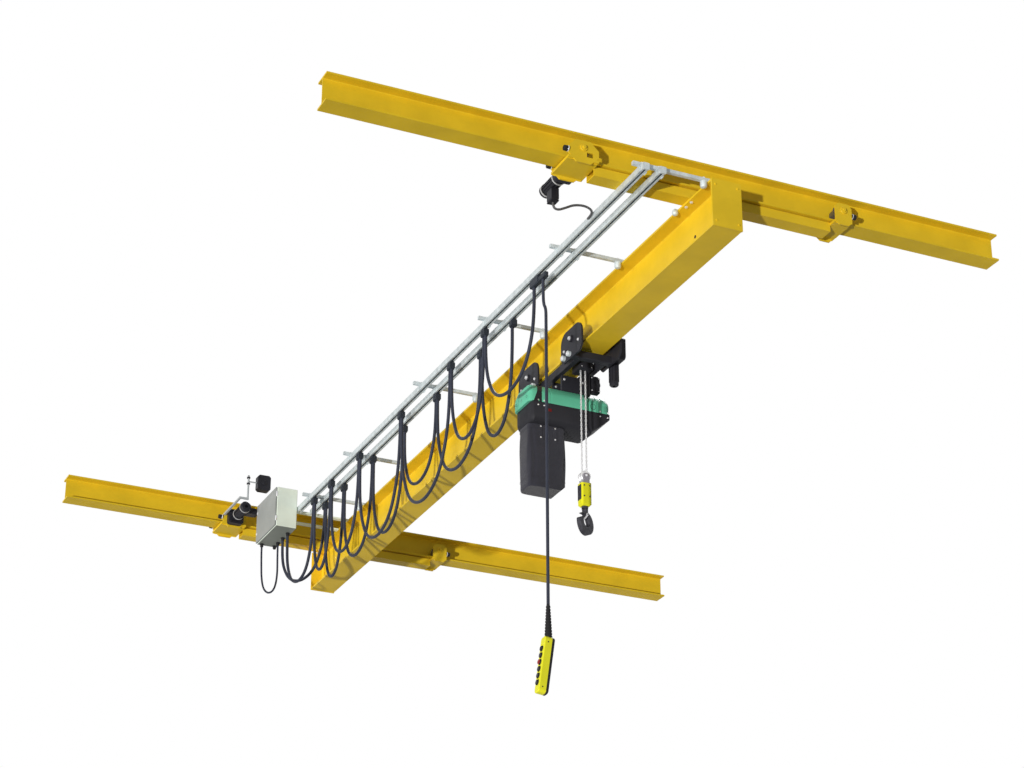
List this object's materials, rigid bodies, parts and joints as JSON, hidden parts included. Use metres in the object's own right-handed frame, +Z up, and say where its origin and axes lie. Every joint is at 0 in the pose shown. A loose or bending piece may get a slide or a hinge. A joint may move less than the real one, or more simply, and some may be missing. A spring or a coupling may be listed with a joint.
{
  "type": "underslung travelling crane",
  "caption": "Underslung crane on two runway beams, with girder, chain hoist, hook, cable festoon and hanging push-button pendant.",
  "frame": {"origin": "on the top face of the near runway beam, over the girder's centre line", "axes": "+X along the runways, +Y along the girder towards the far runway, +Z up"},
  "size_m": [4.4, 5.36, 2.5402],
  "materials": {
    "runway_paint": "satin",
    "crane_paint": "satin",
    "rubber": "matt",
    "drive_black": "satin",
    "drive_ring": "satin",
    "rail_zinc": "galvanised",
    "cabinet_paint": "textured",
    "cable_sheath": "matt",
    "wheel_steel": "machined tread",
    "trolley_black": "satin",
    "hoist_black": "grained",
    "hoist_green": "satin",
    "bag_cloth": "coated cloth",
    "chain_steel": "zinc plated",
    "block_yellow": "satin",
    "hook_steel": "forged",
    "carrier_plastic": "moulded",
    "pendant_yellow": "moulded"
  },
  "bodies": {
    "runways": {"runway_flanges": "runway_paint", "runway_webs": "runway_paint"},
    "bridge": {"girder_flanges": "crane_paint", "girder_web": "crane_paint", "girder_end_plates": "crane_paint", "carriage_beams": "crane_paint", "wheel_yokes_near": "crane_paint", "wheel_yokes_far": "crane_paint", "buffers": "rubber", "travel_drive_near": "drive_black", "travel_drive_far": "drive_black", "drive_rings": "drive_ring", "limit_switch": "drive_black", "festoon_rails": "rail_zinc", "festoon_arms": "rail_zinc", "control_cabinet": "cabinet_paint", "cabinet_glands": "rubber", "cables_fixed": "cable_sheath", "cables_control": "cable_sheath", "cables_supply": "cable_sheath"},
    "trolley": {"trolley_frame_front": "trolley_black", "trolley_frame_rear": "trolley_black", "trolley_side_bars": "trolley_black", "trolley_drive": "drive_black", "trolley_guard_rollers": "rail_zinc", "hoist_lower_housing": "hoist_black", "hoist_upper_housing": "hoist_green", "hoist_hanger": "trolley_black", "hoist_end_covers": "hoist_green", "chain_bag": "bag_cloth", "chain_guide": "hoist_black", "chain_falls": "chain_steel"},
    "hook_block": {"hook_sheave": "chain_steel", "hook_block": "block_yellow"},
    "hook": {"hook": "hook_steel"},
    "hook_latch": {"hook_latch": "chain_steel"},
    "pendant": {"tow_trolley": "carrier_plastic", "pendant_cable": "cable_sheath", "pendant_sleeve": "rubber", "pendant_body": "pendant_yellow", "pendant_back": "rubber", "pendant_keys": "rubber"},
    "wheels_near_left": {"wheels_near_left": "wheel_steel"},
    "wheels_near_right": {"wheels_near_right": "wheel_steel"},
    "wheels_far_left": {"wheels_far_left": "wheel_steel"},
    "wheels_far_right": {"wheels_far_right": "wheel_steel"},
    "trolley_wheels_front": {"trolley_wheels_front": "wheel_steel"},
    "trolley_wheels_rear": {"trolley_wheels_rear": "wheel_steel"},
    "control_carrier_1": {"control_carrier_1": "carrier_plastic"},
    "control_carrier_2": {"control_carrier_2": "carrier_plastic"},
    "control_carrier_3": {"control_carrier_3": "carrier_plastic"},
    "control_carrier_4": {"control_carrier_4": "carrier_plastic"},
    "control_carrier_5": {"control_carrier_5": "carrier_plastic"},
    "control_carrier_6": {"control_carrier_6": "carrier_plastic"},
    "supply_carrier_1": {"supply_carrier_1": "carrier_plastic"},
    "supply_carrier_2": {"supply_carrier_2": "carrier_plastic"},
    "supply_carrier_3": {"supply_carrier_3": "carrier_plastic"},
    "supply_carrier_4": {"supply_carrier_4": "carrier_plastic"},
    "supply_carrier_5": {"supply_carrier_5": "carrier_plastic"},
    "supply_carrier_6": {"supply_carrier_6": "carrier_plastic"}
  },
  "joints": [
    {"name": "bridge_travel", "type": "slide", "parent": "runways", "child": "bridge", "axis": [1, 0, 0], "range_m": [-0.9, 0.85]},
    {"name": "trolley_travel", "type": "slide", "parent": "bridge", "child": "trolley", "axis": [0, 1, 0], "range_m": [-1.2, 2.5], "deforming": ["cables_supply"]},
    {"name": "hook_lift", "type": "slide", "parent": "trolley", "child": "hook_block", "axis": [0, 0, 1], "range_m": [-2, 0.35], "deforming": ["chain_falls"]},
    {"name": "hook_swivel", "type": "hinge", "parent": "hook_block", "child": "hook", "pos_m": [0, 1.28, -1.2953], "axis": [0, 0, 1], "continuous": true},
    {"name": "hook_latch_hinge", "type": "hinge", "parent": "hook", "child": "hook_latch", "pos_m": [0.00173, 1.281, -1.3383], "axis": [0.5, -0.866, 0], "range_deg": [0, 35], "stiffness_Nm_per_rad": 0.2, "springref_deg": -11.46},
    {"name": "pendant_travel", "type": "slide", "parent": "bridge", "child": "pendant", "axis": [0, 1, 0], "range_m": [-1.1, 2.9], "deforming": ["cables_control"]},
    {"name": "wheels_near_left_spin", "type": "hinge", "parent": "bridge", "child": "wheels_near_left", "pos_m": [-0.672, 0, -0.1052], "axis": [0, 1, 0], "continuous": true},
    {"name": "wheels_near_right_spin", "type": "hinge", "parent": "bridge", "child": "wheels_near_right", "pos_m": [0.755, 0, -0.1052], "axis": [0, 1, 0], "continuous": true},
    {"name": "wheels_far_left_spin", "type": "hinge", "parent": "bridge", "child": "wheels_far_left", "pos_m": [-0.672, 5, -0.1052], "axis": [0, 1, 0], "continuous": true},
    {"name": "wheels_far_right_spin", "type": "hinge", "parent": "bridge", "child": "wheels_far_right", "pos_m": [0.755, 5, -0.1052], "axis": [0, 1, 0], "continuous": true},
    {"name": "trolley_wheels_front_spin", "type": "hinge", "parent": "trolley", "child": "trolley_wheels_front", "pos_m": [0, 1.18, -0.4142], "axis": [-1, 0, 0], "continuous": true},
    {"name": "trolley_wheels_rear_spin", "type": "hinge", "parent": "trolley", "child": "trolley_wheels_rear", "pos_m": [0, 1.7, -0.4142], "axis": [-1, 0, 0], "continuous": true},
    {"name": "control_carrier_1_slide", "type": "slide", "parent": "bridge", "child": "control_carrier_1", "axis": [0, 1, 0], "range_m": [-0.9195, 2.4209]},
    {"name": "control_carrier_2_slide", "type": "slide", "parent": "bridge", "child": "control_carrier_2", "axis": [0, 1, 0], "range_m": [-0.7735, 2.0361]},
    {"name": "control_carrier_3_slide", "type": "slide", "parent": "bridge", "child": "control_carrier_3", "axis": [0, 1, 0], "range_m": [-0.5303, 1.3949]},
    {"name": "control_carrier_4_slide", "type": "slide", "parent": "bridge", "child": "control_carrier_4", "axis": [0, 1, 0], "range_m": [-0.3123, 0.8201]},
    {"name": "control_carrier_5_slide", "type": "slide", "parent": "bridge", "child": "control_carrier_5", "axis": [0, 1, 0], "range_m": [-0.1613, 0.4219]},
    {"name": "control_carrier_6_slide", "type": "slide", "parent": "bridge", "child": "control_carrier_6", "axis": [0, 1, 0], "range_m": [-0.0741, 0.192]},
    {"name": "supply_carrier_1_slide", "type": "slide", "parent": "bridge", "child": "supply_carrier_1", "axis": [0, 1, 0], "range_m": [-1.0465, 2.178]},
    {"name": "supply_carrier_2_slide", "type": "slide", "parent": "bridge", "child": "supply_carrier_2", "axis": [0, 1, 0], "range_m": [-0.7873, 1.638]},
    {"name": "supply_carrier_3_slide", "type": "slide", "parent": "bridge", "child": "supply_carrier_3", "axis": [0, 1, 0], "range_m": [-0.5881, 1.223]},
    {"name": "supply_carrier_4_slide", "type": "slide", "parent": "bridge", "child": "supply_carrier_4", "axis": [0, 1, 0], "range_m": [-0.3894, 0.809]},
    {"name": "supply_carrier_5_slide", "type": "slide", "parent": "bridge", "child": "supply_carrier_5", "axis": [0, 1, 0], "range_m": [-0.1954, 0.405]},
    {"name": "supply_carrier_6_slide", "type": "slide", "parent": "bridge", "child": "supply_carrier_6", "axis": [0, 1, 0], "range_m": [-0.074, 0.152]}
  ],
  "couplings": [
    {"joint": "wheels_near_left_spin", "follows": "bridge_travel", "rad_per_m": 28.571},
    {"joint": "wheels_near_right_spin", "follows": "bridge_travel", "rad_per_m": 28.571},
    {"joint": "wheels_far_left_spin", "follows": "bridge_travel", "rad_per_m": 28.571},
    {"joint": "wheels_far_right_spin", "follows": "bridge_travel", "rad_per_m": 28.571},
    {"joint": "trolley_wheels_front_spin", "follows": "trolley_travel", "rad_per_m": 31.25},
    {"joint": "trolley_wheels_rear_spin", "follows": "trolley_travel", "rad_per_m": 31.25},
    {"joint": "control_carrier_1_slide", "follows": "pendant_travel", "ratio": 0.8341},
    {"joint": "control_carrier_2_slide", "follows": "pendant_travel", "ratio": 0.7014},
    {"joint": "control_carrier_3_slide", "follows": "pendant_travel", "ratio": 0.4803},
    {"joint": "control_carrier_4_slide", "follows": "pendant_travel", "ratio": 0.2821},
    {"joint": "control_carrier_5_slide", "follows": "pendant_travel", "ratio": 0.1448},
    {"joint": "control_carrier_6_slide", "follows": "pendant_travel", "ratio": 0.0655},
    {"joint": "supply_carrier_1_slide", "follows": "trolley_travel", "ratio": 0.8704},
    {"joint": "supply_carrier_2_slide", "follows": "trolley_travel", "ratio": 0.6544},
    {"joint": "supply_carrier_3_slide", "follows": "trolley_travel", "ratio": 0.4884},
    {"joint": "supply_carrier_4_slide", "follows": "trolley_travel", "ratio": 0.3228},
    {"joint": "supply_carrier_5_slide", "follows": "trolley_travel", "ratio": 0.1612},
    {"joint": "supply_carrier_6_slide", "follows": "trolley_travel", "ratio": 0.06}
  ]
}
